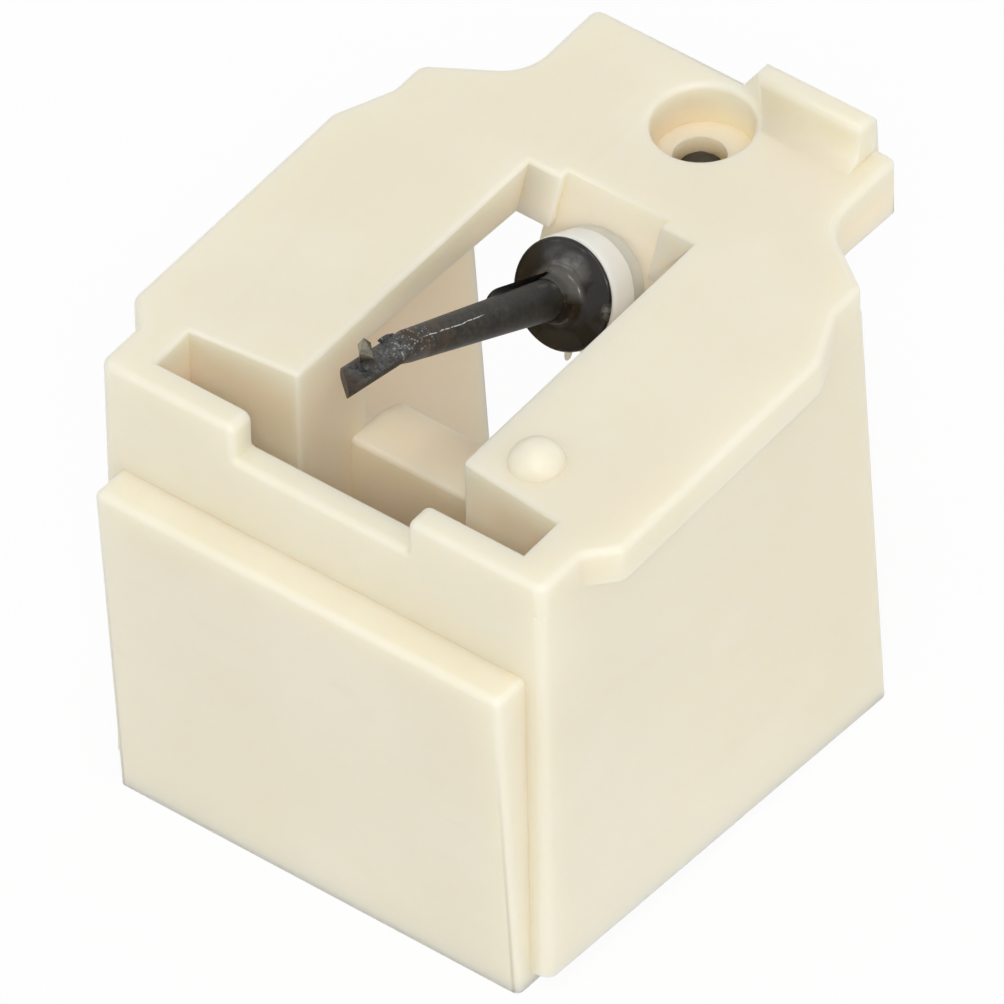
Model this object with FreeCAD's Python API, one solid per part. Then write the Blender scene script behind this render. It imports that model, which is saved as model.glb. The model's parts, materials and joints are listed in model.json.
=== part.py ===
import FreeCAD
import Part
import math
import os
from FreeCAD import Vector

# Turntable stylus: a moulded insert that carries a sprung cantilever with a diamond tip.
# Millimetres. The insert lies on its open base with the tip up: +Z is up, -Y the side of the
# grip panel, +X the right-hand wall. The origin is the middle of the insert's outline, on the base.

# Block
block_width = 10.5        # across the side walls
front_height = 10.34      # base to the deck's front edge
deck_slope = 3.99         # degrees by which the deck rises towards the back
front_lean = 0.15         # set-back of the front wall's foot from its top edge
side_length = 9.76        # deck's front edge to the side walls' rear edge
side_wall = 0.9
front_wall = 0.6
rear_step = 0.1           # side walls' rear edge behind the deck's corner
rear_flare = 0.12         # further set-back of their feet
foot_rise = 0.35          # base up to the front wall's foot, behind the grip panel
roof_drop = 0.39          # deck's front edge down to the flat underside of the deck
block_corner = 0.24       # radius of the block's upright edges
deck_edge = 0.16          # radius round the deck's outer edge
mouth_edge = 0.1          # radius round the openings in the deck
sharp_angle = 30.0        # degrees between the faces of an edge that is rounded

# Rails along the top of the side walls
rail_proud = 0.55
rail_height = 0.88
rail_start = 1.18         # deck's front edge to the first ramp
rail_front_ramp = 0.56
rail_straight = 6.02
rail_back_ramp = 1.2
rail_corner = 0.3
rail_edge = 0.12          # radius along the rails' lower edge

# Neck and its rib
neck_width = 7.2
neck_shift = 0.12         # neck's middle, to the right of the block's
neck_reach = 12.92        # deck's front edge to the neck's back edge
shoulder_length = 1.04    # length of the slanting shoulders, along the deck
shoulder_blend = 1.0      # radius where a shoulder runs into the neck
neck_corner = 0.22
rib_left = 0.74           # rib's left end at its top, to the right of the middle
rib_ramp = 0.6            # length of the slope at that end
rib_right = 3.24
rib_thickness = 0.56
rib_height = 0.88
rib_edge = 0.2
rib_blend = 0.6           # radius where the rib's front meets the deck
blend_sink = 0.02         # overlap of that blend with the deck and the rib

# Grip panel on the front wall
panel_width = 9.62
panel_height = 7.86
panel_proud_top = 0.84
panel_proud_foot = 0.38
panel_edge = 0.16

# Openings in the deck and the front wall
trench_end_length = 1.0   # trench along the deck, at its two ends
trench_mid_length = 1.24  # and beside the slot
slot_width = 3.9
slot_past = 1.62          # pivot to the slot's back edge, along the deck
notch_width = 4.1
notch_depth = 0.79
notch_corner = 0.08
notch_round = 0.2         # radius where the notch's sides meet the deck
column_back = 3.83        # front wall's top edge to the back of the two columns

# Crossbar between the columns
bar_start = 3.21          # deck's front edge to the bar
bar_drop = 2.8            # deck down to the bar's top
bar_flat = 0.91
bar_bevel_length = 0.6
bar_bevel_drop = 0.29
bar_edge = 0.12

# Locating pip on the right-hand column
pip_across = 3.08
pip_along = 2.63
pip_diameter = 1.12
pip_height = 0.44

# Suspension: one axis, measured from the middle of the rubber damper
pivot_setback = 5.64      # neck's back edge forward to the pivot, along the deck
pivot_drop = 1.18         # deck down to the pivot
axis_slope = 27.3         # degrees between the cantilever and the deck
damper_diameter = 2.22
damper_back = 0.08        # pivot to the damper's back face
damper_dome = 0.24        # height of its domed front
damper_round = 0.05
damper_gap = 0.02         # damper's back face to the bush
flange_diameter = 2.27
flange_round = 0.1
flange_reach = 0.75       # pivot to the flange's back face
recess_depth = 0.18       # seat of the bush behind the slot's end face
recess_gap = 0.04         # round the flange, in its seat
sleeve_diameter = 2.0
sleeve_bore = 1.5
sleeve_reach = 5.0        # pivot to the bush's rear end
boss_wall = 0.4
press_gap = 0.01          # round every pressed or glued piece

# Moving arm
tube_tip_diameter = 0.63
tube_root_diameter = 0.82
taper_end = 0.25          # pivot to the end of the tube's taper
tube_wall = 0.06
tube_tail = 0.9           # pivot to the tube's rear end
tube_front = 5.1          # pivot to the start of the flattened end
press_length = 0.54       # from the round tube to the full flat
blade_length = 1.66       # full flat, along its longer edge
blade_width = 0.64
blade_thickness = 0.24
blade_drop = 0.06         # tube's axis down to the middle of the blade's root
blade_slope = 13.8        # degrees between the blade and the deck
blade_skew = 0.57         # the blade's end is cut this far off square
pipe_diameter = 1.0
pipe_front = 0.2          # pivot to the joint pipe's front end
tongue_front = 1.85       # pivot to the end of the tongue left on the pipe
tongue_level = 0.445      # axis to the tongue's cut edges
tongue_turn = 64.0        # degrees by which the tongue lies left of the top
pipe_tail = 1.9
magnet_start = 1.0        # pivot to the magnet's front end
magnet_end = 2.2
tip_width = 0.25
tip_cone = 0.27           # height of the tip's point
tip_point = 0.03          # width left at the point
tip_height = 0.69         # blade's upper face to the point
tip_below = 0.1           # shank showing under the blade
tip_setback = 0.96        # tip's axis behind the blade's longer corner
tip_lean = 17.8           # degrees by which the tip leans forward on the blade

# Suspension wire and its stop
wire_diameter = 0.12
stop_start = 3.6          # pivot to the stop's front face

# Stepped hole in the neck, with the set screw that holds the bush
hole_setback = 1.37       # hole's axis in front of the neck's back edge
counterbore_diameter = 2.02
counterbore_edge = 0.13   # radius round its rim, if the wall behind it allows
rim_share = 0.9           # most of that wall's top that the rim takes
counterbore_depth = 0.95
screw_hole = 1.06
screw_clearance = 0.02
screw_sink = 0.45         # screw's head below the counterbore's floor
screw_point = 0.24        # width of the flat on the screw's point
screw_slot_width = 0.16
screw_slot_depth = 0.16

# Worked-out sizes
half_block = block_width / 2
half_rail = half_block + rail_proud
half_cavity = half_block - side_wall
half_slot = slot_width / 2
half_neck = neck_width / 2
slope = math.radians(deck_slope)
axis_angle = math.radians(axis_slope)
hole_reach = neck_reach - hole_setback
hole_wall = hole_setback - deck_edge - counterbore_diameter / 2
hole_rim = min(counterbore_edge, hole_wall * rim_share)
pivot_reach = neck_reach - pivot_setback
slot_reach = pivot_reach + slot_past
roof_height = front_height - roof_drop
shaft_tilt = axis_slope - deck_slope
blade_tilt = axis_slope - blade_slope
beyond = 4.0              # how far cutting shapes run past the block
x_axis = Vector(1, 0, 0)
wall_down = Vector(0, front_lean / front_height, -1)


def deck_point(across, along, height):
    y = along * math.cos(slope) - height * math.sin(slope)
    z = front_height + along * math.sin(slope) + height * math.cos(slope)
    return Vector(across, y, z)


def deck_height(point):
    # Height of a point above the deck's plane.
    return (point.z - front_height) * math.cos(slope) - point.y * math.sin(slope)


def on_deck(shape):
    # Deck frame: x across, y back along the deck from its front edge, z out of the deck.
    placed = shape.copy()
    placed.rotate(Vector(), x_axis, deck_slope)
    placed.translate(Vector(0, 0, front_height))
    return placed


def wall_point(down):
    # Point on the front wall's outer face, at a depth below the deck's front edge.
    return Vector(0, 0, front_height) + wall_down * down


pivot = deck_point(0, pivot_reach, -pivot_drop)
rear_edge = deck_point(0, side_length, 0)
foot_setback = rear_edge.z * math.tan(slope) + rear_step + rear_flare
rear_foot = Vector(0, rear_edge.y + foot_setback, 0)


def on_axis(shape):
    # Suspension frame: x across, y back along the cantilever's axis from the pivot, z above it.
    placed = shape.copy()
    placed.rotate(Vector(), x_axis, -shaft_tilt)
    placed.translate(pivot)
    return placed


def axis_reach(along, height):
    # Distance behind the pivot, along the axis, of a point given in the deck frame.
    return (along - pivot_reach) * math.cos(axis_angle) - (height + pivot_drop) * math.sin(axis_angle)


def polygon(points):
    return Part.Face(Part.makePolygon(points + points[:1]))


def side_prism(points, half_width):
    # Solid with one outline in the upright plane along the block, the same on both sides.
    face = polygon([Vector(-half_width, y, z) for y, z in points])
    return face.extrude(Vector(2 * half_width, 0, 0))


def rounded_face(corners):
    # Flat face whose corners (x, y, radius) are joined by straight edges and tangent arcs.
    ends = []
    count = len(corners)
    for i, (x, y, radius) in enumerate(corners):
        here = Vector(x, y, 0)
        back = Vector(*corners[i - 1][:2], 0) - here
        ahead = Vector(*corners[(i + 1) % count][:2], 0) - here
        back.normalize()
        ahead.normalize()
        if radius == 0:
            ends.append((here, None, here))
            continue
        half_angle = back.getAngle(ahead) / 2
        run = radius / math.tan(half_angle)
        bisector = (back + ahead).normalize()
        middle = here + bisector * (radius / math.sin(half_angle) - radius)
        ends.append((here + back * run, middle, here + ahead * run))
    edges = []
    for i, (start, middle, end) in enumerate(ends):
        if middle is not None:
            edges.append(Part.Arc(start, middle, end).toShape())
        edges.append(Part.LineSegment(end, ends[(i + 1) % count][0]).toShape())
    return Part.Face(Part.Wire(edges))


def box(low, high):
    size = high - low
    return Part.makeBox(size.x, size.y, size.z, low)


def round_bar(radius, start, end):
    return Part.makeCylinder(radius, end - start, Vector(0, start, 0), Vector(0, 1, 0))


def beyond_line(start, end, away):
    # Solid on one side of a line in the upright plane along the block, as wide as needed.
    run = end - start
    first = start - run
    last = end + run
    points = [first, last, last + away, first + away]
    return side_prism([(p.y, p.z) for p in points], block_width)


def lower_block():
    # Front and side walls as one solid, from the base into the deck.
    depth = rail_height - deck_edge
    far = side_length + beyond
    outline = on_deck(rounded_face([
        (half_block, 0, block_corner),
        (half_block, far, 0),
        (-half_block, far, 0),
        (-half_block, 0, block_corner),
    ]))
    outline.translate(wall_down * depth)
    block = outline.extrude(wall_down * (front_height + beyond))
    front_foot = wall_point(front_height - foot_rise)
    top_rear = deck_point(0, side_length + rear_step, -depth)
    below = beyond_line(front_foot, rear_foot, Vector(0, 0, -2 * front_height))
    behind = beyond_line(rear_foot, top_rear, Vector(0, 2 * far, 0))
    block = block.cut([below, behind])
    middle = side_length / 2
    upright = [e for e in block.Edges if e.BoundBox.YMin > middle and e.BoundBox.ZLength > front_height / 2]
    return block.makeFillet(block_corner, upright)


def rear_corners(sign):
    # Shoulder and neck on one side, from front to back.
    edge = neck_shift + sign * half_neck
    return [
        (sign * half_block, side_length, rail_corner),
        (edge, side_length + shoulder_length, shoulder_blend),
        (edge, neck_reach, neck_corner),
    ]


def rail_corners(sign):
    # Front corner and rail on one side, from front to back.
    ramp_end = rail_start + rail_front_ramp
    rail_end = ramp_end + rail_straight
    return [
        (sign * half_block, 0, block_corner),
        (sign * half_block, rail_start, rail_corner),
        (sign * half_rail, ramp_end, rail_corner),
        (sign * half_rail, rail_end, rail_corner),
        (sign * half_block, rail_end + rail_back_ramp, rail_corner),
    ]


def deck_plate():
    # Rails, shoulders and neck in one outline, rounded along the rails' lower edge.
    right = rail_corners(1) + rear_corners(1)
    left = rail_corners(-1) + rear_corners(-1)
    outline = on_deck(rounded_face(right + left[::-1]))
    plate = outline.extrude(wall_down * rail_height)
    lower = [e for e in plate.Edges if deck_height(e.CenterOfMass) < rail_edge - rail_height
             and abs(e.CenterOfMass.x) > half_block + rail_proud / 2]
    return plate.makeFillet(rail_edge, lower)


def deck_underside():
    # Wedge between the sloping deck and its level underside, under the shoulders and the neck.
    front = [(-half_block, column_back, 0), (half_block, column_back, 0)]
    outline = on_deck(rounded_face(front + rear_corners(1) + rear_corners(-1)[::-1]))
    outline.translate(wall_down * (rail_height / 2))
    deep = neck_reach * math.sin(slope) + beyond
    wedge = outline.extrude(wall_down * deep)
    below = box(Vector(-block_width, -beyond, -deep), Vector(block_width, neck_reach + beyond, roof_height))
    return wedge.cut(below)


def grip_panel():
    # Raised panel, wedge-shaped, with every edge rounded but those at its foot.
    top = wall_point(front_height - panel_height).y
    outline = [
        (front_lean - panel_proud_foot, 0),
        (top - panel_proud_top, panel_height),
        (top + front_wall / 2, panel_height),
        (front_lean + front_wall / 2, 0),
    ]
    panel = side_prism(outline, panel_width / 2)
    edges = [e for e in panel.Edges if e.BoundBox.YMin < front_lean and e.BoundBox.ZMax > panel_edge]
    return panel.makeFillet(panel_edge, edges)


def neck_rib():
    # Low rib across the neck: its front runs into the deck in a hollow curve, its left end slopes,
    # and the stepped hole's rim is cut out of it.
    front = neck_reach - rib_thickness
    toe = front + blend_sink - rib_blend
    hollow = math.sqrt(0.5) * rib_blend
    left = rib_left - rib_ramp
    curve = Part.Arc(
        Vector(left, toe, -blend_sink),
        Vector(left, toe + hollow, rib_blend - hollow - blend_sink),
        Vector(left, front + blend_sink, rib_blend - blend_sink),
    ).toShape()
    corners = [
        Vector(left, front + blend_sink, rib_blend - blend_sink),
        Vector(left, front + blend_sink, rib_height),
        Vector(left, neck_reach, rib_height),
        Vector(left, neck_reach, -rail_height / 2),
        Vector(left, toe, -rail_height / 2),
        Vector(left, toe, -blend_sink),
    ]
    profile = Part.Face(Part.Wire([curve] + Part.makePolygon(corners).Edges))
    rib = profile.extrude(Vector(rib_right - left, 0, 0))
    waste = polygon([
        Vector(left, toe, 0),
        Vector(rib_left, toe, rib_height),
        Vector(rib_left + rib_ramp, toe, 2 * rib_height),
        Vector(left - rib_ramp, toe, 2 * rib_height),
        Vector(left - rib_ramp, toe, 0),
    ])
    rib = rib.cut(waste.extrude(Vector(0, neck_reach, 0)))
    upper = [e for e in rib.Edges if e.CenterOfMass.z > rib_height - rib_edge / 4]
    rib = rib.makeFillet(rib_edge, upper)
    rim = counterbore_diameter / 2 + hole_rim
    return on_deck(rib.cut(Part.makeCylinder(rim, beyond, Vector(neck_shift, hole_reach, -beyond / 2))))


def locating_pip():
    radius = pip_diameter / 2
    ball = (radius ** 2 + pip_height ** 2) / (2 * pip_height)
    return on_deck(Part.makeSphere(ball, Vector(pip_across, pip_along, pip_height - ball)))


def trench():
    # Well between the front wall and the columns, leaning like the front wall.
    start = front_wall
    end = start + trench_end_length
    middle = start + trench_mid_length
    outline = polygon([
        Vector(-half_cavity, start, 0),
        Vector(half_cavity, start, 0),
        Vector(half_cavity, end, 0),
        Vector(half_slot, middle, 0),
        Vector(-half_slot, middle, 0),
        Vector(-half_cavity, end, 0),
    ])
    outline.translate(Vector(0, 0, front_height) - wall_down * beyond)
    return outline.extrude(wall_down * (front_height + 2 * beyond))


def slot():
    # Opening for the cantilever: a pit between the columns, then a slot through the deck.
    # Its end face is square to the cantilever.
    start = front_wall + trench_end_length / 2
    lift = beyond / 2
    top_end = deck_point(0, slot_reach + lift * math.tan(axis_angle), lift)
    low_end = deck_point(0, slot_reach - lift * math.tan(axis_angle), -lift)
    top_start = deck_point(0, start, lift)
    return side_prism([
        (start, -beyond),
        (top_start.y, top_start.z),
        (top_end.y, top_end.z),
        (low_end.y, low_end.z),
        (column_back, low_end.z),
        (column_back, -beyond),
    ], half_slot)


def socket():
    # Space for the cartridge's nose, open at the base and at the back.
    return box(Vector(-half_cavity, column_back, -beyond),
               Vector(half_cavity, neck_reach + beyond, roof_height))


def front_notch():
    half = notch_width / 2
    outline = rounded_face([
        (-half, -notch_depth, notch_corner),
        (half, -notch_depth, notch_corner),
        (half, beyond, 0),
        (-half, beyond, 0),
    ])
    outline.rotate(Vector(), x_axis, 90)
    outline.translate(Vector(0, -beyond, 0))
    return on_deck(outline.extrude(Vector(0, beyond + front_wall + trench_end_length / 2, 0)))


def sharp_edges(shape, wanted):
    # Edges that pass a test on their middle point and whose two faces meet at a clear angle.
    found = []
    for edge in shape.Edges:
        faces = shape.ancestorsOfType(edge, Part.Face)
        if edge.Degenerated or len(faces) != 2:
            continue
        middle = edge.valueAt((edge.FirstParameter + edge.LastParameter) / 2)
        normals = [face.normalAt(*face.Surface.parameter(middle)) for face in faces]
        if normals[0].getAngle(normals[1]) > math.radians(sharp_angle) and wanted(middle):
            found.append(edge)
    return found


def outer_shell():
    # Walls and deck with the front notch, rounded along the deck's outer edge and the notch.
    shell = lower_block().fuse(deck_plate()).cut(front_notch()).removeSplitter()
    near = deck_edge / 4
    half = notch_width / 2

    def notch_top(point):
        return abs(deck_height(point)) < near and abs(abs(point.x) - half) < near

    def outer_rim(point):
        depth = -deck_height(point)
        beside_notch = abs(point.x) < half + notch_round + near
        if beside_notch and point.y < front_wall + trench_end_length:
            return point.y < front_wall / 2 and depth < notch_depth + near
        return depth < near

    shell = shell.makeFillet(notch_round, sharp_edges(shell, notch_top))
    return shell.makeFillet(deck_edge, sharp_edges(shell, outer_rim))


def crossbar():
    bevel_start = bar_start + bar_flat
    front = deck_point(0, bar_start, -bar_drop)
    back = deck_point(0, bevel_start, -bar_drop)
    low = deck_point(0, bevel_start + bar_bevel_length, -bar_drop - bar_bevel_drop)
    bar = side_prism([
        (front.y, foot_rise),
        (front.y, front.z),
        (back.y, back.z),
        (low.y, low.z),
        (low.y, foot_rise),
    ], half_slot)
    upper = [e for e in bar.Edges if e.BoundBox.XLength > half_slot and e.BoundBox.YMax < back.y
             and e.BoundBox.ZMin > foot_rise]
    return bar.makeFillet(bar_edge, upper)


def arch_face(radius, along, height):
    # Outline across the suspension axis: round below, with straight sides up to a height.
    left = Vector(-radius, along, 0)
    right = Vector(radius, along, 0)
    bottom = Part.Arc(left, Vector(0, along, -radius), right).toShape()
    top_right = Vector(radius, along, height)
    top_left = Vector(-radius, along, height)
    sides = [(right, top_right), (top_right, top_left), (top_left, left)]
    return Part.Face(Part.Wire([bottom] + [Part.LineSegment(a, b).toShape() for a, b in sides]))


slot_end = axis_reach(slot_reach, 0)
bush_seat = slot_end + recess_depth


def suspension_boss():
    # Saddle under the neck that carries the bush.
    radius = sleeve_diameter / 2 + boss_wall
    length = sleeve_reach - bush_seat
    boss = on_axis(arch_face(radius, bush_seat, neck_reach).extrude(Vector(0, length, 0)))
    above = box(Vector(-block_width, -beyond, -rail_height / 2),
                Vector(block_width, 2 * neck_reach, 2 * neck_reach))
    behind = box(Vector(-block_width, neck_reach, -2 * neck_reach),
                 Vector(block_width, 2 * neck_reach, 2 * neck_reach))
    return boss.cut([on_deck(above), on_deck(behind)])


def bush_recess():
    radius = flange_diameter / 2 + recess_gap
    depth = recess_depth + beyond / 4
    return on_axis(arch_face(radius, bush_seat, neck_reach).extrude(Vector(0, -depth, 0)))


def rounded_mouth(body):
    # Rounds the edges of the openings where they meet the deck, the front notch and the column corners.
    near = mouth_edge / 2
    column = wall_point(front_height / 2).y + front_wall + trench_mid_length

    def wanted(point):
        depth = -deck_height(point)
        on_top = depth < near
        at_front = point.y < front_wall + trench_end_length / 2
        beside_notch = abs(point.x) < notch_width / 2 + notch_round
        in_notch = at_front and beside_notch and depth < notch_depth + near
        on_column = abs(abs(point.x) - half_slot) < near and abs(point.y - column) < near
        return on_top or in_notch or on_column

    return body.makeFillet(mouth_edge, sharp_edges(body, wanted))


def stylus_body():
    body = outer_shell().fuse([deck_underside(), grip_panel()])
    body = body.cut([trench(), slot(), socket()])
    body = body.fuse(suspension_boss()).cut(bush_recess())
    nose = on_axis(round_bar(flange_diameter / 2, flange_reach + press_gap, bush_seat + boss_wall))
    bore = on_axis(round_bar(sleeve_diameter / 2 + press_gap, 0, sleeve_reach + beyond))
    body = body.fuse(nose).cut(bore).removeSplitter()
    body = rounded_mouth(body)
    floor = Vector(neck_shift, hole_reach, -counterbore_depth)
    counterbore = on_deck(Part.makeCylinder(counterbore_diameter / 2, beyond, floor))
    body = body.cut(counterbore)
    hole = on_deck(Part.Vertex(neck_shift, hole_reach, 0)).Point
    rim = sharp_edges(body, lambda point: abs(deck_height(point)) < mouth_edge / 2
                      and (point - hole).Length < counterbore_diameter)
    body = body.makeFillet(hole_rim, rim)
    deep = axis_drop(hole_reach)
    screw_way = on_deck(Part.makeCylinder(screw_hole / 2, deep, Vector(0, hole_reach, -deep)))
    body = body.cut(screw_way).fuse([crossbar(), neck_rib(), locating_pip()])
    return body.removeSplitter()


def axis_drop(along):
    # Depth of the suspension axis below the deck.
    return pivot_drop + (along - pivot_reach) * math.tan(axis_angle)


def damper_bush():
    # Flanged sleeve: the flange backs the damper, the sleeve goes through the boss.
    start = damper_back + damper_gap
    flange = round_bar(flange_diameter / 2, start, flange_reach)
    rim = [e for e in flange.Edges if e.BoundBox.YMax < start + damper_gap]
    flange = flange.makeFillet(flange_round, rim)
    sleeve = round_bar(sleeve_diameter / 2, start + flange_round, sleeve_reach)
    bore = round_bar(sleeve_bore / 2, 0, sleeve_reach + beyond)
    return on_axis(flange.fuse(sleeve).cut(bore).removeSplitter())


def rubber_damper():
    # Turned disc with a domed front and a rounded rim.
    radius = damper_diameter / 2
    bore = pipe_diameter / 2 + press_gap
    ball = (radius ** 2 + damper_dome ** 2) / (2 * damper_dome)

    def dome_point(across):
        return Vector(across, ball - damper_dome - math.sqrt(ball ** 2 - across ** 2), 0)

    inner = Vector(bore, damper_back, 0)
    outer = Vector(radius, damper_back, 0)
    rim = dome_point(radius)
    front = dome_point(bore)
    lines = [(front, inner), (inner, outer), (outer, rim)]
    edges = [Part.LineSegment(a, b).toShape() for a, b in lines]
    edges.append(Part.Arc(rim, dome_point((radius + bore) / 2), front).toShape())
    disc = Part.Face(Part.Wire(edges)).revolve(Vector(), Vector(0, 1, 0), 360)
    wide = [e for e in disc.Edges if e.BoundBox.XLength > radius]
    edge = [e for e in wide if abs(e.BoundBox.YMax) < damper_back / 2]
    return on_axis(disc.makeFillet(damper_round, edge))


def joint_pipe():
    # Collar round the tube, with a tongue at its front end.
    pipe = round_bar(pipe_diameter / 2, -tongue_front, pipe_tail)
    waste = box(Vector(-pipe_diameter, -beyond, -pipe_diameter),
                Vector(pipe_diameter, -pipe_front, tongue_level))
    waste.rotate(Vector(), Vector(0, 1, 0), -tongue_turn)
    bore = round_bar(tube_root_diameter / 2 + press_gap, -beyond, beyond)
    return on_axis(pipe.cut([waste, bore]))


def magnet():
    return on_axis(round_bar(tube_root_diameter / 2, magnet_start, magnet_end))


def tie_wire():
    return on_axis(round_bar(wire_diameter / 2, magnet_end, sleeve_reach))


def wire_stop():
    plug = round_bar(sleeve_bore / 2 - press_gap, stop_start, sleeve_reach)
    return on_axis(plug.cut(round_bar(wire_diameter / 2 + press_gap, 0, beyond + sleeve_reach)))


def stadium(width, thickness, along, height):
    # Flattened tube section across the axis, at one place along it.
    half = max(width - thickness, press_gap) / 2
    radius = thickness / 2
    top_left = Vector(-half, along, height + radius)
    top_right = Vector(half, along, height + radius)
    low_right = Vector(half, along, height - radius)
    low_left = Vector(-half, along, height - radius)
    return Part.Wire([
        Part.LineSegment(top_left, top_right).toShape(),
        Part.Arc(top_right, Vector(half + radius, along, height), low_right).toShape(),
        Part.LineSegment(low_right, low_left).toShape(),
        Part.Arc(low_left, Vector(-half - radius, along, height), top_left).toShape(),
    ])


def blade_frame(shape):
    # Frame of the flattened end: origin where the full flat starts, y back along the blade.
    placed = shape.copy()
    placed.rotate(Vector(), x_axis, blade_tilt)
    placed.translate(Vector(0, -tube_front - press_length, -blade_drop))
    return placed


def tapered_tube(inset, tail):
    # Tapered tube, or its bore when set in by the wall.
    tip = tube_tip_diameter / 2 - inset
    root = tube_root_diameter / 2 - inset
    start = inset - tube_front
    taper = Part.makeCone(tip, root, -taper_end - start, Vector(0, start, 0), Vector(0, 1, 0))
    return taper.fuse(round_bar(root, -taper_end, tail))


def cantilever():
    tube = tapered_tube(0, tube_tail)
    round_section = stadium(tube_tip_diameter, tube_tip_diameter, -tube_front, 0)
    flat_section = blade_frame(stadium(blade_width, blade_thickness, 0, 0))
    neck = Part.makeLoft([round_section, flat_section], True, True)
    flat = Part.Face(stadium(blade_width, blade_thickness, 0, 0))
    blade = flat.extrude(Vector(0, -blade_length - beyond, 0))
    near_end = blade_skew / 2 - blade_length
    waste = polygon([
        Vector(-blade_width, near_end + blade_skew, -blade_width),
        Vector(blade_width, near_end - blade_skew, -blade_width),
        Vector(blade_width, near_end - 2 * beyond, -blade_width),
        Vector(-blade_width, near_end - 2 * beyond, -blade_width),
    ]).extrude(Vector(0, 0, 2 * blade_width))
    arm = tube.fuse([neck, blade_frame(blade.cut(waste))])
    bore = tapered_tube(tube_wall, tube_tail + beyond)
    arm = arm.cut([bore, blade_frame(tip_solid(press_gap))]).removeSplitter()
    return on_axis(arm)


def tip_solid(gap):
    # Square shank with a four-sided point, leaning on the blade, in the blade's frame.
    reach = (tip_width / 2 + gap) * math.sqrt(2)
    low = -blade_thickness - tip_below

    def square(size, height):
        corners = [Vector(x, y, height) for x, y in ((size, 0), (0, size), (-size, 0), (0, -size))]
        return Part.makePolygon(corners + corners[:1])

    shoulder = tip_height - tip_cone
    shank = Part.Face(square(reach, low)).extrude(Vector(0, 0, shoulder - low))
    cone = Part.makeLoft([square(reach, shoulder), square(tip_point / math.sqrt(2), tip_height)], True, True)
    tip = shank.fuse(cone).removeSplitter()
    tip.rotate(Vector(), x_axis, tip_lean)
    tip.translate(Vector(0, tip_setback - blade_length, blade_thickness / 2))
    return tip


def diamond_tip():
    return on_axis(blade_frame(tip_solid(0)))


def set_screw():
    # Pointed screw that bears on the bush from the neck's hole.
    radius = screw_hole / 2 - screw_clearance
    top = -counterbore_depth - screw_sink
    bush_top = axis_drop(hole_reach) - sleeve_diameter / 2 / math.cos(axis_angle)
    point = -bush_top + screw_point / 2 * math.tan(axis_angle) + screw_clearance
    shank_end = point + (radius - screw_point / 2)
    shank = Part.makeCylinder(radius, top - shank_end, Vector(0, hole_reach, shank_end))
    cone = Part.makeCone(screw_point / 2, radius, shank_end - point, Vector(0, hole_reach, point))
    driver = box(Vector(-radius, hole_reach - screw_slot_width / 2, top - screw_slot_depth),
                 Vector(radius, hole_reach + screw_slot_width / 2, top + beyond))
    return on_deck(shank.fuse(cone).cut(driver).removeSplitter())


pieces = {
    "stylus_body": stylus_body(),
    "damper_bush": damper_bush(),
    "rubber_damper": rubber_damper(),
    "joint_pipe": joint_pipe(),
    "cantilever": cantilever(),
    "diamond_tip": diamond_tip(),
    "magnet": magnet(),
    "tie_wire": tie_wire(),
    "wire_stop": wire_stop(),
    "set_screw": set_screw(),
}

outline = pieces["stylus_body"].BoundBox
to_origin = Vector(0, -(outline.YMin + outline.YMax) / 2, 0)
os.makedirs("parts", exist_ok=True)
for name, shape in pieces.items():
    placed = shape.copy()
    placed.translate(to_origin)
    placed.exportStep("parts/" + name + ".step")
    print(name, "solids", len(placed.Solids), "valid", placed.isValid(), "volume", round(placed.Volume, 4))
print("moved by", round(to_origin.y, 4), "pivot", pivot + to_origin)
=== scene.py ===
import json
import math
import bmesh
import bpy
from mathutils import Matrix, Vector, noise


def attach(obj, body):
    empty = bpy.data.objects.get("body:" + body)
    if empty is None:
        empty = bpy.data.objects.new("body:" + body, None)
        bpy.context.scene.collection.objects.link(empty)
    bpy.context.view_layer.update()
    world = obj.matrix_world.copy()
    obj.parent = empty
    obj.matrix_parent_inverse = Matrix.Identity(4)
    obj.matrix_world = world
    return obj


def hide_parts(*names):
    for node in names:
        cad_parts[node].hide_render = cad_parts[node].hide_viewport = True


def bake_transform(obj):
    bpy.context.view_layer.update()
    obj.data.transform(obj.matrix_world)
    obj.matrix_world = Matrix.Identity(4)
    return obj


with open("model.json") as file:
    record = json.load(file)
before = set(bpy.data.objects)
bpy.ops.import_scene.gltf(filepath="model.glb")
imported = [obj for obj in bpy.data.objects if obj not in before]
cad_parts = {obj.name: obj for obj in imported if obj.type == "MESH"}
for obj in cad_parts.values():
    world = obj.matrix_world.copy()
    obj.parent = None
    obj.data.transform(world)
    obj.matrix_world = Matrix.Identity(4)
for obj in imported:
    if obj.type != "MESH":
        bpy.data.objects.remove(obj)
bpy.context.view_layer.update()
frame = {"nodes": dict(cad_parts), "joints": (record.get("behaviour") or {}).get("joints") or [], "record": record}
print("frame loaded:", ", ".join(sorted(frame["nodes"])))

mm = 0.001
pivot = Vector(frame["joints"][0]["pos_m"])           # middle of the rubber damper
shaftTilt = math.radians(23.31)                       # the cantilever rises towards its tip
axisPlace = Matrix.Translation(pivot) @ Matrix.Rotation(-shaftTilt, 4, "X")
bladeTilt = math.radians(13.5)                        # the flattened end bends down from that axis
bladeRoot = Vector((0, -5.64, -0.06)) * mm            # where it bends
bladePlace = axisPlace @ Matrix.Translation(bladeRoot) @ Matrix.Rotation(bladeTilt, 4, "X")
deckSlope = math.radians(3.99)
screwHead = Vector((0, 5.529, 9.745)) * mm
screwPlace = Matrix.Translation(screwHead) @ Matrix.Rotation(deckSlope, 4, "X")


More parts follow.
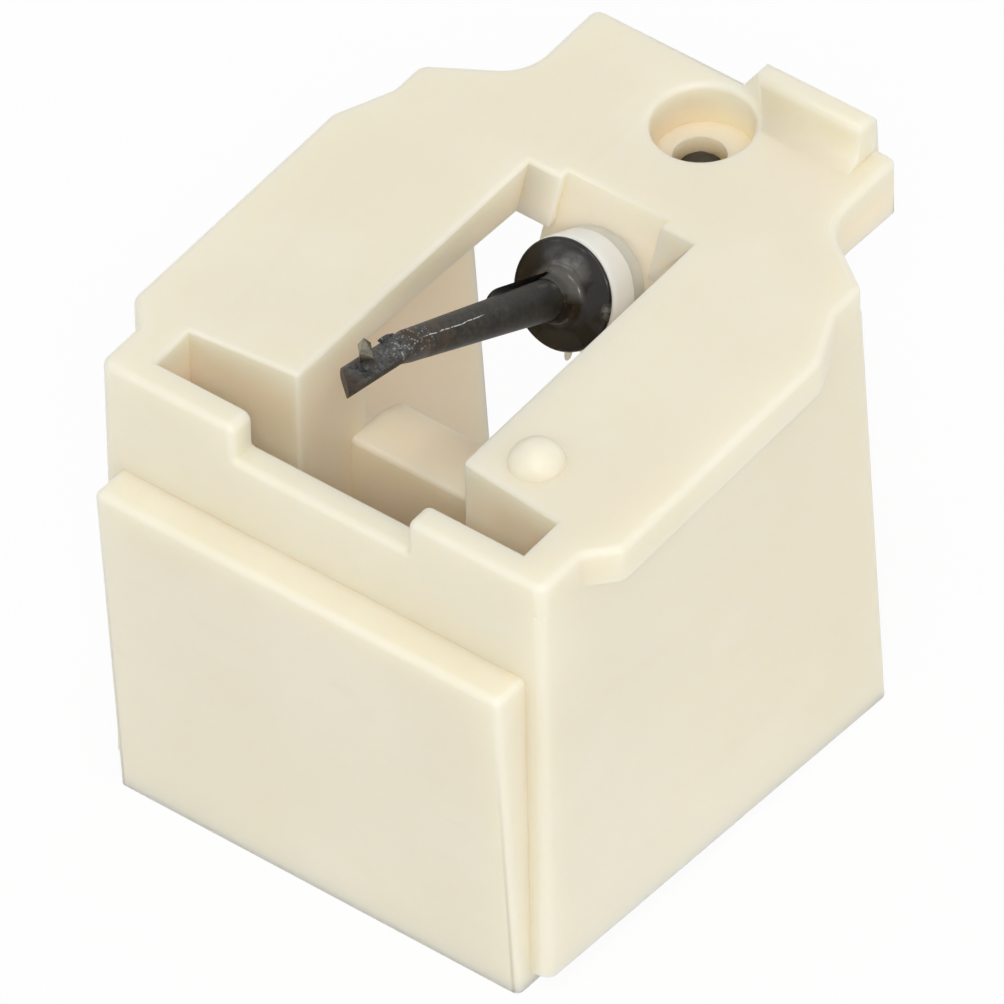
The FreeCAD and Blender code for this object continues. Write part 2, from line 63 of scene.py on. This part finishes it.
class Wire:  # a node's output, so that shader maths reads as plain sums
    def __init__(self, finish, socket):
        self.finish = finish
        self.socket = socket

    def maths(self, operation, *values):
        return self.finish.add("ShaderNodeMath", {"operation": operation}, dict(enumerate(values)))

    def __add__(self, other):
        return self.maths("ADD", self, other)

    def __radd__(self, other):
        return self.maths("ADD", other, self)

    def __sub__(self, other):
        return self.maths("SUBTRACT", self, other)

    def __mul__(self, other):
        return self.maths("MULTIPLY", self, other)

    def __rmul__(self, other):
        return self.maths("MULTIPLY", other, self)

    def atLeast(self, other):
        return self.maths("MAXIMUM", self, other)

    def size(self):
        return self.maths("ABSOLUTE", self)

    def rise(self, low, high, start=0.0, end=1.0):  # smooth step from low to high
        return self.finish.add("ShaderNodeMapRange", {"interpolation_type": "SMOOTHSTEP", "clamp": True},
                               {"Value": self, "From Min": low, "From Max": high,
                                "To Min": start, "To Max": end})


class Finish:  # one material, or the world, and its nodes
    def __init__(self, name, tree=None):
        if tree is None:
            self.material = bpy.data.materials.new(name)
            self.material.use_nodes = True
            tree = self.material.node_tree
        self.tree = tree
        self.tree.nodes.clear()

    def add(self, kind, settings=None, sockets=None, output=0):
        node = self.tree.nodes.new(kind)
        for key, value in (settings or {}).items():
            setattr(node, key, value)
        for key, value in (sockets or {}).items():
            target = node.inputs[key] if isinstance(key, int) else self.named(node.inputs, key)
            if isinstance(value, Wire):
                self.tree.links.new(value.socket, target)
            else:
                target.default_value = value
        found = node.outputs[output] if isinstance(output, int) else self.named(node.outputs, output)
        return Wire(self, found)

    def named(self, sockets, key):
        return next(s for s in sockets if key in (s.identifier, s.name))

    def coords(self, scale=(1, 1, 1), turn=(0, 0, 0)):
        place = self.add("ShaderNodeTexCoord", output="Object")
        return self.add("ShaderNodeMapping", {}, {"Vector": place, "Rotation": turn, "Scale": scale})

    def placed(self, place):  # across, along and height in a sub-part's own frame, in millimetres
        where = self.add("ShaderNodeTexCoord", output="Object")
        moved = self.add("ShaderNodeMapping", {"vector_type": "TEXTURE"},
                         {"Vector": where, "Location": place.to_translation(),
                          "Rotation": place.to_euler(), "Scale": (mm, mm, mm)})
        return [self.add("ShaderNodeSeparateXYZ", {}, {"Vector": moved}, axis) for axis in "XYZ"]

    def noise(self, where, scale, detail=3.0, rough=0.55, twist=0.0):
        return self.add("ShaderNodeTexNoise", {}, {"Vector": where, "Scale": scale, "Detail": detail,
                                                   "Roughness": rough, "Distortion": twist}, "Fac")

    def cells(self, where, scale):
        return self.add("ShaderNodeTexVoronoi", {}, {"Vector": where, "Scale": scale}, "Distance")

    def mix(self, amount, first, second):
        first = first if isinstance(first, Wire) else (*first, 1.0)
        second = second if isinstance(second, Wire) else (*second, 1.0)
        return self.add("ShaderNodeMix", {"data_type": "RGBA"},
                        {"Factor_Float": amount, "A_Color": first, "B_Color": second}, "Result_Color")

    def bump(self, height, strength, depth, under=None):
        sockets = {"Height": height, "Strength": strength, "Distance": depth}
        if under is not None:
            sockets["Normal"] = under
        return self.add("ShaderNodeBump", {}, sockets, "Normal")

    def shownRay(self):  # 1 for what the camera sees, straight, mirrored or through something clear
        kinds = ("Is Camera Ray", "Is Glossy Ray", "Is Transmission Ray")
        seen, glossy, through = [self.add("ShaderNodeLightPath", output=kind) for kind in kinds]
        return seen.atLeast(glossy).atLeast(through)

    def surface(self, sockets):
        shader = self.add("ShaderNodeBsdfPrincipled", {}, sockets, "BSDF")
        self.finishWith(shader)
        return self.material

    def finishWith(self, shader, kind="ShaderNodeOutputMaterial"):
        out = self.tree.nodes.new(kind)
        self.tree.links.new(shader.socket, out.inputs["Surface"])


# In the finishes, noiseOf holds each texture's scale, detail, roughness and twist, zone the limits
# between which a mask rises (places in millimetres), share how much of a layer shows, middle the places
# of marks in millimetres, and relief each bump's strength and depth.
def creamPlastic():
    look = {"colour": (0.836, 0.780, 0.626), "pale": (0.853, 0.804, 0.664), "warm": (0.820, 0.746, 0.582),
            "hollow": (0.915, 0.808, 0.632),
            "roughness": 0.40, "flowSpread": 0.10, "grainSpread": 0.08}
    noiseOf = {"cloud": (260, 3.0), "flow": (620, 4.0, 0.6, 0.8), "grain": (14000, 2.0)}
    flowLie = {"scale": (1, 0.35, 1.6), "turn": (0.5, 0.2, 0.3)}
    zone = {"pale": (0.35, 0.7), "warm": (0.5, 0.8),
            "depth": (0.2, 0.9), "across": (4.9, 4.6), "along": (-5.6, -5.2)}
    share = {"warm": 0.35}
    relief = {"grain": (0.25, 0.004 * mm), "flow": (0.2, 0.01 * mm)}
    deck = {"front": 10.34, "frontAlong": -6.09, "climb": 0.0698}  # the deck's plane, in millimetres
    f = Finish("creamPlastic")
    place = f.coords()
    across, along, height = f.placed(Matrix())
    depth = deck["front"] + (along - deck["frontAlong"]) * deck["climb"] - height
    # painted light: hollows below the deck get a warmer, brighter colour that stands in for light passing through
    # the translucent plastic
    hollow = depth.rise(*zone["depth"]) * across.size().rise(*zone["across"]) * along.rise(*zone["along"])
    cloud = f.noise(place, *noiseOf["cloud"])
    flow = f.noise(f.coords(**flowLie), *noiseOf["flow"])
    grain = f.noise(place, *noiseOf["grain"])
    colour = f.mix(cloud.rise(*zone["pale"]), look["colour"], look["pale"])
    colour = f.mix(flow.rise(*zone["warm"]) * share["warm"], colour, look["warm"])
    # painted light in the hollows
    colour = f.mix(hollow, colour, look["hollow"])
    roughness = look["roughness"] + (flow - 0.5) * look["flowSpread"] + (grain - 0.5) * look["grainSpread"]
    normal = f.bump(grain, *relief["grain"])
    normal = f.bump(flow, *relief["flow"], normal)
    return f.surface({"Base Color": colour, "Roughness": roughness, "Normal": normal, "IOR": 1.5,
                      "Subsurface Weight": 0.8, "Subsurface Radius": (1.0, 0.88, 0.72),
                      "Subsurface Scale": 0.0009})


def whiteNylon():
    look = {"white": (0.89, 0.89, 0.85), "yellowed": (0.86, 0.84, 0.76), "roughness": 0.35, "spread": 0.1}
    noiseOf = {"cloud": (1500, 3.0)}
    f = Finish("whiteNylon")
    cloud = f.noise(f.coords(), *noiseOf["cloud"])
    colour = f.mix(cloud, look["white"], look["yellowed"])
    return f.surface({"Base Color": colour, "Roughness": look["roughness"] + cloud * look["spread"],
                      "IOR": 1.5, "Subsurface Weight": 0.3, "Subsurface Radius": (1.0, 1.0, 0.95),
                      "Subsurface Scale": 0.0003})


def blackRubber():
    look = {"black": (0.006, 0.005, 0.004), "brown": (0.016, 0.012, 0.009), "speck": (0.16, 0.14, 0.11),
            "glint": (0.26, 0.24, 0.19), "filmAndSheen": (0.150, 0.142, 0.122), "roughness": 0.16, "spread": 0.16}
    noiseOf = {"smearAndHighlight": (1500, 4.0, 0.6), "swell": (1300, 1.5), "grain": (9000, 3.0, 0.6),
               "speckPatch": (2500, 2.0)}
    speckScale = 9000
    zone = {"brown": (0.4, 0.75), "speck": (0.14, 0.06), "speckPatch": (0.55, 0.65),
            "rim": (0.86, 1.0), "rimRight": (0.4, 0.8), "rimSpan": (0.22, 0.02), "glint": (0.35, 0.75),
            "paintedSheenSpread": (0.17, 0.01), "paintedSheen": (0.36, 0.58),
            "rootSpread": (0.50, 0.24), "rootTop": (0.02, 0.30), "root": (0.34, 0.56)}
    share = {"speck": 0.5, "glint": 0.7, "filmAndSheen": 0.55}
    middle = {"glintHeight": 0.12, "paintedSheenAcross": 0.16, "paintedSheenHeight": 0.60}
    relief = {"swell": (0.9, 0.09 * mm), "grain": (0.35, 0.008 * mm)}
    f = Finish("blackRubber")
    place = f.coords()
    smearAndHighlight = f.noise(place, *noiseOf["smearAndHighlight"])
    swell = f.noise(place, *noiseOf["swell"])
    grain = f.noise(place, *noiseOf["grain"])
    patch = f.noise(place, *noiseOf["speckPatch"]).rise(*zone["speckPatch"])
    specks = f.cells(place, speckScale).rise(*zone["speck"]) * patch
    colour = f.mix(smearAndHighlight.rise(*zone["brown"]), look["black"], look["brown"])
    colour = f.mix(specks * share["speck"], colour, look["speck"])
    across, height = f.placed(axisPlace)[::2]
    spread = across * across + height * height
    # painted highlight: a paler streak on the rim's right side stands in for a glint
    span = (height - middle["glintHeight"]).size().rise(*zone["rimSpan"])
    glint = spread.rise(*zone["rim"]) * across.rise(*zone["rimRight"]) * span
    colour = f.mix(glint * grain.rise(*zone["glint"]) * share["glint"], colour, look["glint"])
    # painted sheen: a paler soft patch high on the dome's front stands in for a reflection of light
    beside = across - middle["paintedSheenAcross"]
    above = height - middle["paintedSheenHeight"]
    paintedSheen = (beside * beside + above * above).rise(*zone["paintedSheenSpread"]) * smearAndHighlight.rise(*zone["paintedSheen"])
    # round the tube's root, on its upper side only: partly a glue smear, partly painted highlight
    root = spread.rise(*zone["rootSpread"]) * height.rise(*zone["rootTop"]) * smearAndHighlight.rise(*zone["root"])
    filmAndSheen = paintedSheen.atLeast(root)  # painted sheen on the upper front; round the tube's root, on its upper side, partly a glue smear and partly painted highlight
    colour = f.mix(filmAndSheen * share["filmAndSheen"], colour, look["filmAndSheen"])
    normal = f.bump(swell, *relief["swell"])
    normal = f.bump(grain, *relief["grain"], normal)
    return f.surface({"Base Color": colour, "Roughness": look["roughness"] + smearAndHighlight * look["spread"],
                      "Normal": normal, "IOR": 1.5, "Specular IOR Level": 0.42})


def blackTube():
    look = {"black": (0.009, 0.0088, 0.0075), "worn": (0.030, 0.027, 0.021), "brown": (0.060, 0.034, 0.018),
            "filmAndSheen": (0.098, 0.102, 0.100), "fleck": (0.42, 0.42, 0.39), "scratch": (0.60, 0.59, 0.54),
            "smearAndHighlight": (0.16, 0.155, 0.14), "grain": (0.058, 0.055, 0.046), "roughness": 0.40, "spread": 0.2}
    noiseOf = {"wear": (2200, 4.0, 0.65), "fine": (8000, 4.0, 0.7), "broken": (8600, 5.0, 0.75),
               "rust": (1900, 5.0, 0.75), "drift": (1500, 2.0)}
    fleckScale = 17000
    zone = {"worn": (0.35, 0.75), "grain": (0.42, 0.72), "grainFade": (-1.0, -4.5, 0.2, 0.6),
            "rust": (0.42, 0.62), "rustAlong": (-3.0, -4.6), "endAlong": (-1.0, -1.35), "end": (0.35, 0.6),
            "filmStart": (-1.35, -1.1), "filmEnd": (0.55, 0.2), "filmTop": (0.04, 0.09), "filmAndSheen": (0.36, 0.60),
            "clear": (0.035, 0.070), "fleckStart": (-1.4, -1.1), "fleckEnd": (1.3, 0.5),
            "fleckTop": (-0.05, 0.1), "fleckSize": (0.50, 0.20), "fleck": (0.47, 0.56),
            "lineWidth": (0.010, 0.002), "lineTop": (0.1, 0.2), "lineStart": (-5.0, -4.8),
            "lineEnd": (-2.9, -3.2), "line": (0.44, 0.54), "foldWidth": (0.035, 0.010),
            "foldSide": (-0.08, 0.05), "foldTop": (0.0, 0.06), "fold": (0.44, 0.56),
            "smearAndHighlightWidth": (0.13, 0.03), "smearAndHighlightTop": (0.2, 0.3), "smearAndHighlightAlong": (-1.3, -0.8),
            "smearAndHighlight": (0.35, 0.6)}
    share = {"rust": 0.75, "filmAndSheen": 0.8, "fleck": 0.75, "fold": 0.5, "smearAndHighlight": 0.6}
    middle = {"tipBack": 0.74, "line": 0.205, "lineDrift": 0.07, "fold": 0.2, "foldSkew": 0.6, "smearAndHighlight": 0.1}
    relief = {"wear": (0.5, 0.014 * mm), "fine": (0.6, 0.008 * mm), "crust": (0.5, 0.01 * mm)}
    f = Finish("blackTube")
    place = f.coords()
    across, along, height = f.placed(axisPlace)
    bladeAcross, bladeAlong, bladeHeight = f.placed(bladePlace)
    wear = f.noise(place, *noiseOf["wear"])
    fine = f.noise(place, *noiseOf["fine"])
    broken = f.noise(place, *noiseOf["broken"])
    colour = f.mix(wear.rise(*zone["worn"]), look["black"], look["worn"])
    colour = f.mix(fine.rise(*zone["grain"]) * along.rise(*zone["grainFade"]), colour, look["grain"])
    rust = f.noise(place, *noiseOf["rust"]).rise(*zone["rust"]) * along.rise(*zone["rustAlong"])
    rustEnd = bladeAlong.rise(*zone["endAlong"]) * fine.rise(*zone["end"])
    colour = f.mix(rust.atLeast(rustEnd) * share["rust"], colour, look["brown"])
    onBlade = bladeAlong.rise(*zone["filmStart"]) * bladeAlong.rise(*zone["filmEnd"])
    aside = bladeAlong + middle["tipBack"]
    clear = (bladeAcross * bladeAcross + aside * aside).rise(*zone["clear"])  # dark round the tip's foot
    filmAndSheen = onBlade * clear * bladeHeight.rise(*zone["filmTop"]) * broken.rise(*zone["filmAndSheen"])
    colour = f.mix(filmAndSheen * share["filmAndSheen"], colour, look["filmAndSheen"])
    flecked = bladeAlong.rise(*zone["fleckStart"]) * bladeAlong.rise(*zone["fleckEnd"])
    flecked = flecked * height.rise(*zone["fleckTop"])
    fleck = f.cells(place, fleckScale).rise(*zone["fleckSize"]) * flecked * clear * fine.rise(*zone["fleck"])
    colour = f.mix(fleck * share["fleck"], colour, look["fleck"])
    drift = (f.noise(place, *noiseOf["drift"]) - 0.5) * middle["lineDrift"]
    line = (across - middle["line"] - drift).size().rise(*zone["lineWidth"]) * height.rise(*zone["lineTop"])
    line = line * along.rise(*zone["lineStart"]) * along.rise(*zone["lineEnd"]) * broken.rise(*zone["line"])
    skewed = bladeAlong - middle["fold"] + middle["foldSkew"] * bladeAcross
    fold = skewed.size().rise(*zone["foldWidth"]) * bladeAcross.rise(*zone["foldSide"])
    fold = fold * bladeHeight.rise(*zone["foldTop"]) * broken.rise(*zone["fold"])
    colour = f.mix(line.atLeast(fold * share["fold"]), colour, look["scratch"])
    # a pale streak on the tube's top next to the rubber: partly a glue smear, partly painted highlight where light
    # falls from above
    smearAndHighlight = (across - middle["smearAndHighlight"]).size().rise(*zone["smearAndHighlightWidth"])
    smearAndHighlight = smearAndHighlight * height.rise(*zone["smearAndHighlightTop"]) * along.rise(*zone["smearAndHighlightAlong"])
    colour = f.mix(smearAndHighlight * wear.rise(*zone["smearAndHighlight"]) * share["smearAndHighlight"], colour, look["smearAndHighlight"])
    normal = f.bump(wear, *relief["wear"])
    normal = f.bump(fine, *relief["fine"], normal)
    normal = f.bump(filmAndSheen.atLeast(fleck), *relief["crust"], normal)
    return f.surface({"Base Color": colour, "Roughness": look["roughness"] + wear * look["spread"],
                      "Normal": normal, "IOR": 1.5, "Specular IOR Level": 0.28})


def diamond():
    look = {"pale": (0.21, 0.18, 0.105), "dark": (0.085, 0.075, 0.048), "glue": (0.030, 0.026, 0.018),
            "roughness": 0.06, "spread": 0.1}
    noiseOf = {"cloud": (9000, 2.0)}
    zone = {"cloud": (0.35, 0.65), "glue": (0.52, 0.28)}  # the glue stands on the shank
    f = Finish("diamond")
    cloud = f.noise(f.coords(), *noiseOf["cloud"])
    bladeHeight = f.placed(bladePlace)[2]
    colour = f.mix(cloud.rise(*zone["cloud"]), look["pale"], look["dark"])
    colour = f.mix(bladeHeight.rise(*zone["glue"]), colour, look["glue"])
    return f.surface({"Base Color": colour, "Roughness": look["roughness"] + cloud * look["spread"],
                      "IOR": 1.9, "Transmission Weight": 0.2})


def metal(name, colour, dark, roughness, scale, stretch):
    texture = {"detail": 3.0, "rough": 0.6}
    relief = (0.3, 0.006 * mm)
    spread = 0.15
    f = Finish(name)
    turned = f.noise(f.coords(scale=stretch, turn=(shaftTilt, 0, 0)), scale, **texture)
    mixed = f.mix(turned, dark, colour)
    normal = f.bump(turned, *relief)
    return f.surface({"Base Color": mixed, "Metallic": 1.0, "Roughness": roughness + turned * spread,
                      "Normal": normal})


metals = {
    "magnet_metal": {"name": "magnetMetal", "colour": (0.30, 0.30, 0.30), "dark": (0.16, 0.16, 0.16),
                     "roughness": 0.35, "scale": 3000, "stretch": (1, 1, 1)},
    "wire_steel": {"name": "wireSteel", "colour": (0.55, 0.55, 0.54), "dark": (0.40, 0.40, 0.40),
                   "roughness": 0.25, "scale": 9000, "stretch": (1, 0.05, 1)},
    "stop_brass": {"name": "stopBrass", "colour": (0.66, 0.50, 0.22), "dark": (0.48, 0.35, 0.14),
                   "roughness": 0.28, "scale": 6000, "stretch": (0.2, 1, 0.2)},
    "dark_screw": {"name": "darkScrew", "colour": (0.130, 0.120, 0.100), "dark": (0.045, 0.042, 0.035),
                   "roughness": 0.60, "scale": 5000, "stretch": (1, 1, 0.3)},
}
finishes = {
    "cream_plastic": creamPlastic(),
    "white_nylon": whiteNylon(),
    "black_rubber": blackRubber(),
    "black_tube": blackTube(),
    "diamond": diamond(),
}
for slot, look in metals.items():
    finishes[slot] = metal(**look)
print("finishes made:", len(finishes))


def paint(obj, slot):
    obj.data.materials.clear()
    obj.data.materials.append(finishes[slot])


def addPiece(name, mesh, body, slot, *nodes):
    data = bpy.data.meshes.new(name)
    mesh.to_mesh(data)
    mesh.free()
    obj = bpy.data.objects.new(name, data)
    bpy.context.scene.collection.objects.link(obj)
    for polygon in data.polygons:
        polygon.use_smooth = True
    paint(obj, slot)
    if body:
        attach(obj, body)
    if nodes:
        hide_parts(*nodes)
    return obj


for part in frame["record"]["subparts"]:
    node = frame["nodes"][part["node"]]
    paint(node, part["material_slot"])


def smoothCopy(name, node, body, slot, sharp):  # the CAD solid with its seams welded and soft shading
    soft = {"weld": 0.002 * mm, "flat": math.radians(0.3), "weight": 90}
    mesh = bmesh.new()
    mesh.from_mesh(frame["nodes"][node].data)
    bmesh.ops.remove_doubles(mesh, verts=mesh.verts, dist=soft["weld"])
    bmesh.ops.dissolve_limit(mesh, angle_limit=soft["flat"], verts=mesh.verts, edges=mesh.edges)
    piece = addPiece(name, mesh, body, slot, node)
    piece.data.set_sharp_from_angle(angle=math.radians(sharp))
    even = piece.modifiers.new("evenNormals", "WEIGHTED_NORMAL")  # flat faces stay flat beside their rounds
    even.mode = "FACE_AREA"
    even.weight = soft["weight"]
    even.keep_sharp = True


smoothCopy("insertBody", "stylus_body", "holder", "cream_plastic", sharp=34)
smoothCopy("flangedBush", "damper_bush", "holder", "white_nylon", sharp=40)
smoothCopy("needleArm", "cantilever", "arm", "black_tube", sharp=40)
smoothCopy("clampScrew", "set_screw", "holder", "dark_screw", sharp=40)


def damperRing():
    ring = {"rim": 1.11 * mm, "back": 0.06 * mm, "rimBack": 0.02 * mm, "dome": 0.23 * mm,
            "shoulder": 0.66 * mm, "tube": 0.415 * mm, "feather": 0.008 * mm, "climb": 0.56 * mm,
            "collar": 0.505 * mm, "collarEnd": 0.2 * mm, "edge": 0.06 * mm, "flare": 1.6, "sink": 2.4,
            "curveSteps": 8, "edgeSteps": 5, "steps": 128, "weld": 0.0005 * mm, "sharp": 50}
    mesh = bmesh.new()
    outline = [(ring["collar"], ring["back"]), (ring["collar"], -ring["collarEnd"]),
               (ring["tube"], -ring["collarEnd"]), (ring["tube"], -ring["climb"])]
    face = ring["dome"] * (1 - (ring["shoulder"] / ring["rim"]) ** 2)
    foot = ring["tube"] + ring["feather"]
    for step in range(1, ring["curveSteps"] + 1):  # the rubber climbs the tube in a hollow curve
        share = step / ring["curveSteps"]
        outline.append((foot + (ring["shoulder"] - foot) * share ** ring["flare"],
                        -face - (ring["climb"] - face) * (1 - share) ** ring["sink"]))
    for step in range(1, ring["curveSteps"] + 1):  # and its front is a shallow dome out to the rim
        share = step / ring["curveSteps"]
        radius = ring["shoulder"] + (ring["rim"] - ring["edge"] - ring["shoulder"]) * share
        outline.append((radius, -ring["dome"] * (1 - (radius / ring["rim"]) ** 2)))
    lip = outline[-1][1]
    for step in range(1, ring["edgeSteps"] + 1):  # the rim's front edge is round
        turn = math.radians(90 * step / ring["edgeSteps"])
        outline.append((ring["rim"] - ring["edge"] * (1 - math.sin(turn)),
                        lip + ring["edge"] * (1 - math.cos(turn))))
    outline.append((ring["rim"], ring["rimBack"]))  # the back is coned, clear of the bush
    points = [mesh.verts.new((x, y, 0)) for x, y in outline]
    edges = [mesh.edges.new((points[i], points[(i + 1) % len(points)])) for i in range(len(points))]
    bmesh.ops.spin(mesh, geom=points + edges, cent=(0, 0, 0), axis=(0, 1, 0), angle=2 * math.pi,
                   steps=ring["steps"], use_merge=True)
    bmesh.ops.remove_doubles(mesh, verts=mesh.verts, dist=ring["weld"])
    bmesh.ops.recalc_face_normals(mesh, faces=mesh.faces)
    bmesh.ops.transform(mesh, matrix=axisPlace, verts=mesh.verts)
    piece = addPiece("damperRing", mesh, None, "black_rubber", "rubber_damper")
    piece.data.set_sharp_from_angle(angle=math.radians(ring["sharp"]))
    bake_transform(piece)


damperRing()


def blob(name, place, centre, size, body, slot, unevenness):  # a rounded lump, in millimetres
    ball = {"subdivisions": 4, "waves": 2.3}
    mesh = bmesh.new()
    bmesh.ops.create_icosphere(mesh, subdivisions=ball["subdivisions"], radius=1.0)
    for vert in mesh.verts:
        vert.co *= 1 + unevenness * noise.noise(vert.co * ball["waves"])
    scaled = Matrix.Translation(Vector(centre) * mm) @ Matrix.Diagonal((*(Vector(size) * mm), 1))
    bmesh.ops.transform(mesh, matrix=place @ scaled, verts=mesh.verts)
    addPiece(name, mesh, body, slot)


glue = {"body": "arm", "slot": "black_tube", "unevenness": 0.16}
lumps = [
    {"name": "glueMound", "place": bladePlace, "centre": (0.05, -0.79, 0.12), "size": (0.19, 0.18, 0.21),
     **glue},
    {"name": "gluePad", "place": bladePlace, "centre": (0.12, -0.84, 0.12), "size": (0.18, 0.24, 0.035),
     **glue},
    {"name": "glueRoot", "place": bladePlace, "centre": (0.05, -0.25, 0.12), "size": (0.22, 0.26, 0.03),
     **glue},
    {"name": "tubeCurl", "place": axisPlace, "centre": (-0.272, -5.42, 0.105), "size": (0.05, 0.27, 0.075),
     **glue},
    {"name": "screwSeal", "place": screwPlace, "centre": (0, 0, 0), "size": (0.49, 0.49, 0.30),
     "body": "holder", "slot": "dark_screw", "unevenness": 0.05},
    {"name": "bushPip", "place": axisPlace, "centre": (0.29, 0.3, -1.164), "size": (0.075, 0.055, 0.15),
     "body": "holder", "slot": "white_nylon", "unevenness": 0.05},
]
for lump in lumps:
    blob(**lump)
print("pieces made")


def stage():
    ground = {"half": 0.6, "drop": 0.00002, "white": 0.9, "cloudWhite": 0.88, "shine": 0.93,
              "cloud": (40, 2.0)}
    sky = {"colour": (1.0, 0.995, 0.985, 1), "strength": 0.56, "shown": 1.0}
    mesh = bmesh.new()
    bmesh.ops.create_grid(mesh, x_segments=1, y_segments=1, size=ground["half"])
    data = bpy.data.meshes.new("floor")
    mesh.to_mesh(data)
    mesh.free()
    floor = bpy.data.objects.new("floor", data)
    floor.location.z = -ground["drop"]
    bpy.context.scene.collection.objects.link(floor)
    f = Finish("paleFloor")
    cloud = f.noise(f.coords(), *ground["cloud"])
    colour = f.mix(cloud, (ground["white"],) * 3, (ground["cloudWhite"],) * 3)
    matt = f.add("ShaderNodeBsdfDiffuse", {}, {"Color": colour})
    glow = f.add("ShaderNodeEmission", {}, {"Color": (1, 1, 1, 1), "Strength": 1.0})
    f.finishWith(f.add("ShaderNodeMixShader", {}, {0: f.shownRay() * ground["shine"], 1: matt, 2: glow}))
    data.materials.append(f.material)

    world = bpy.data.worlds.new("studio")
    bpy.context.scene.world = world
    world.use_nodes = True
    w = Finish("studio", world.node_tree)
    lit = w.add("ShaderNodeBackground", {}, {"Color": sky["colour"], "Strength": sky["strength"]})
    shown = w.add("ShaderNodeBackground", {}, {"Color": (1, 1, 1, 1), "Strength": sky["shown"]})
    both = w.add("ShaderNodeMixShader", {}, {0: w.shownRay(), 1: lit, 2: shown})
    w.finishWith(both, "ShaderNodeOutputWorld")

    lamps = [  # name, place, aim, width and power
        ("topLamp", (0.03, -0.04, 0.42), (0, 0, 0.008), 0.14, 0.27),
        ("mainLamp", (0.207, -0.262, 0.308), (0, 0, 0.006), 0.11, 0.59),
        ("wallLamp", (0.42, -0.04, 0.08), (0, 0, 0.004), 0.14, 0.20),
        ("backLamp", (0.06, 0.42, 0.10), (0, 0, 0.004), 0.24, 0.10),
        ("sheenLamp", (-0.207, -0.370, 0.157), (0, 0, 0.008), 0.075, 0.11),
    ]
    for name, place, aim, width, power in lamps:
        data = bpy.data.lights.new(name, "AREA")
        data.shape = "DISK"
        data.size = width
        data.energy = power
        lamp = bpy.data.objects.new(name, data)
        lamp.location = place
        lamp.rotation_euler = (Vector(aim) - Vector(place)).to_track_quat("-Z", "Y").to_euler()
        bpy.context.scene.collection.objects.link(lamp)


stage()


def camera():
    shot = {"place": (173.01518, -220.18132, 258.72164), "right": (0.78832263, 0.61524055, -0.00514642),
            "up": (-0.40981702, 0.53131069, 0.74145732), "back": (0.45890896, -0.58239850, 0.67098029),
            "focal": 19987.4, "frameWidth": 1004, "sensor": 36}  # focal length in picture points
    data = bpy.data.cameras.new("camera")
    data.sensor_width = shot["sensor"]
    data.lens = shot["focal"] / shot["frameWidth"] * shot["sensor"]
    obj = bpy.data.objects.new("camera", data)
    turn = Matrix((shot["right"], shot["up"], shot["back"])).transposed()
    obj.matrix_world = Matrix.Translation(Vector(shot["place"]) * mm) @ turn.to_4x4()
    bpy.context.scene.collection.objects.link(obj)
    bpy.context.scene.camera = obj


camera()
bpy.context.scene.view_settings.view_transform = "Standard"
print("camera and stage ready")
